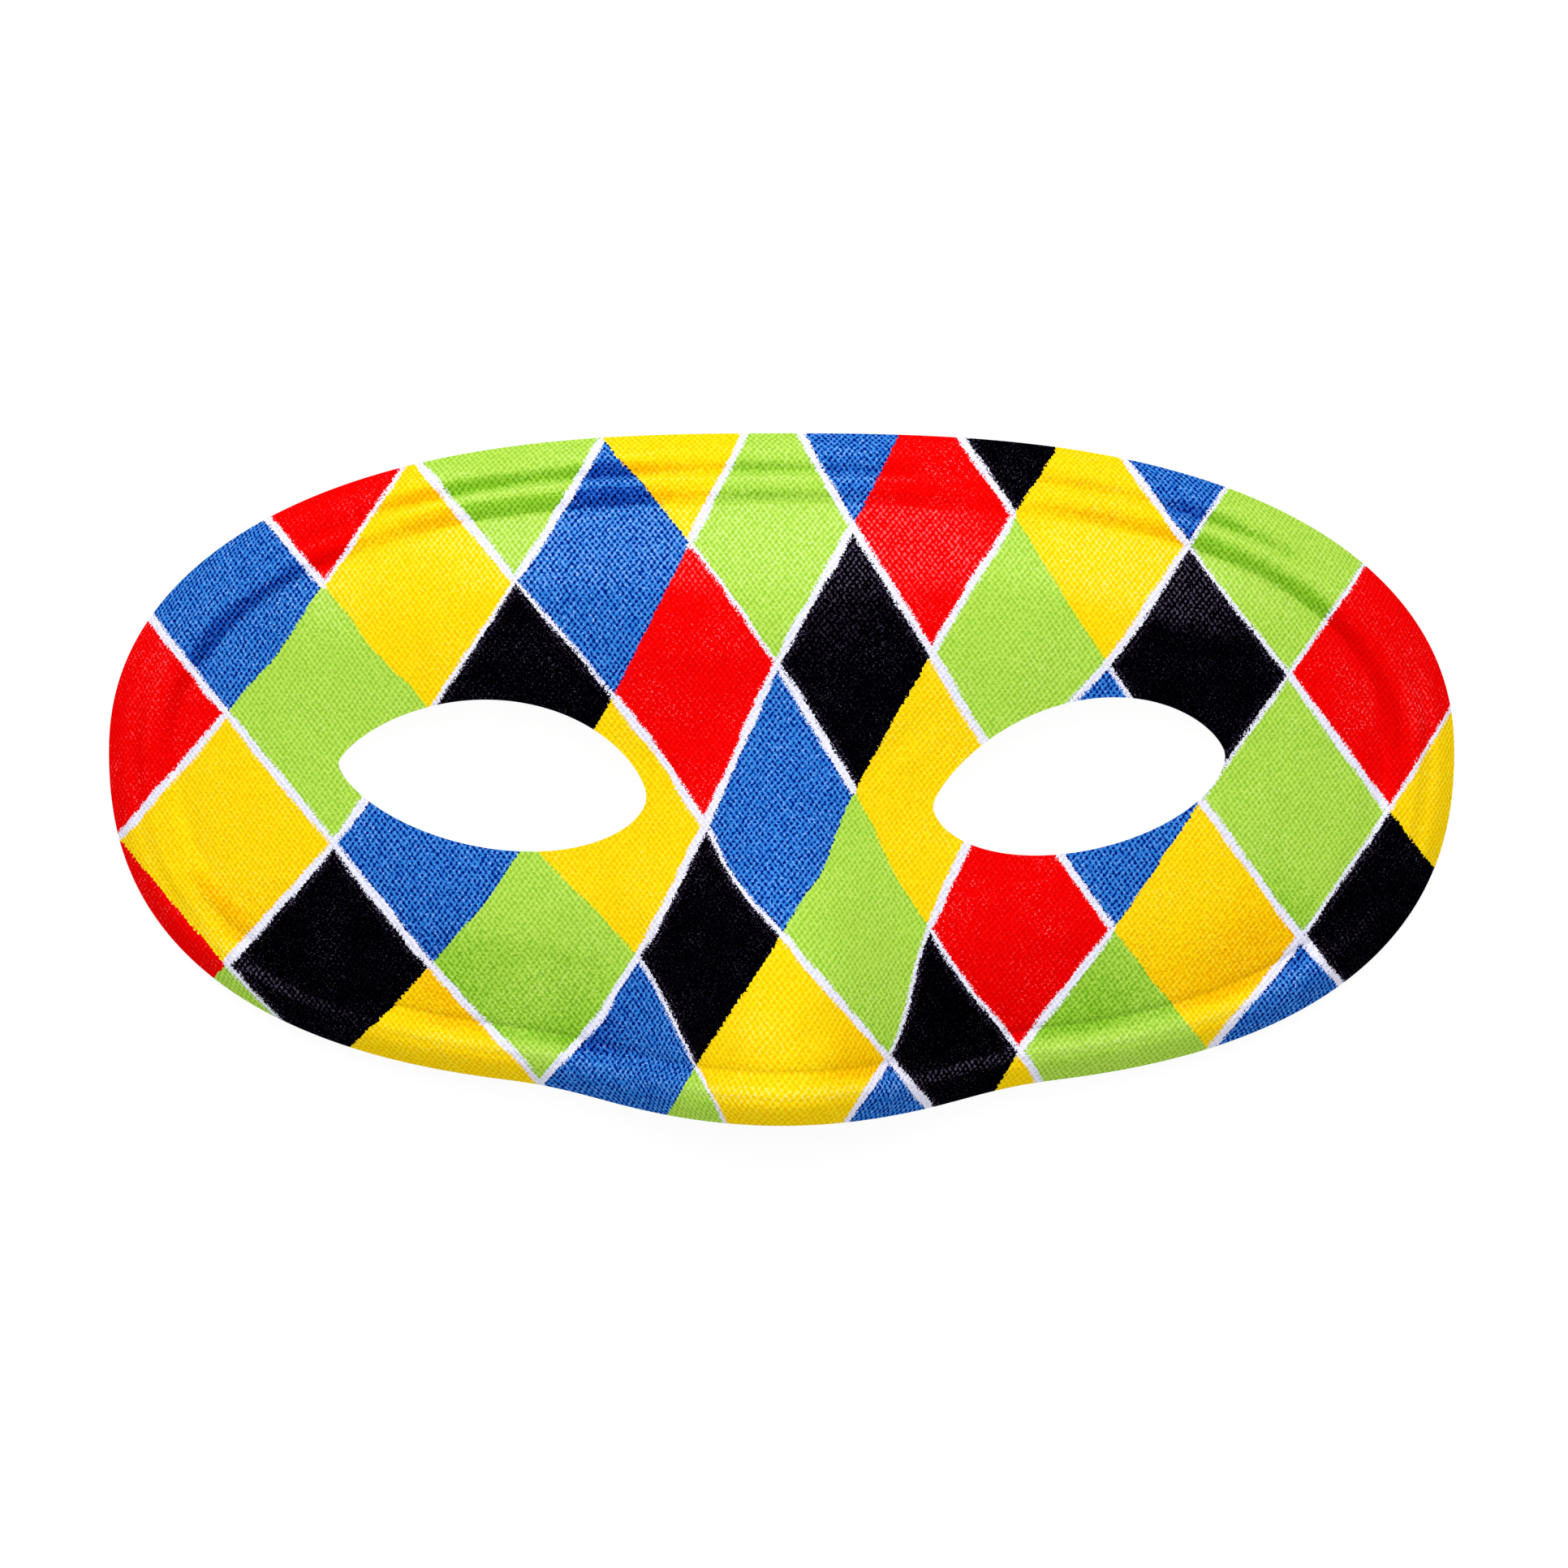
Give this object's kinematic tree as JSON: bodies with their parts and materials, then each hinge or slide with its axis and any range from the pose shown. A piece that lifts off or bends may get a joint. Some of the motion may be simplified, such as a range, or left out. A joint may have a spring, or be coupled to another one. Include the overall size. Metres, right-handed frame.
{
  "type": "eye mask",
  "caption": "Half-face harlequin eye mask: a formed cloth-faced shell with eye openings and tape loops for an elastic.",
  "frame": {"origin": "under the middle of the outline, on the surface that the temples rest on", "axes": "+X across the face to the viewer's right, +Y up to the brow, +Z out of the front of the face"},
  "size_m": [0.166, 0.085, 0.0314],
  "materials": {
    "printed_cloth": "matte printed weave",
    "loop_tape": "matte woven tape"
  },
  "bodies": {
    "root": {"mask_shell": "printed_cloth", "elastic_loop_left": "loop_tape", "elastic_loop_right": "loop_tape"}
  },
  "joints": []
}
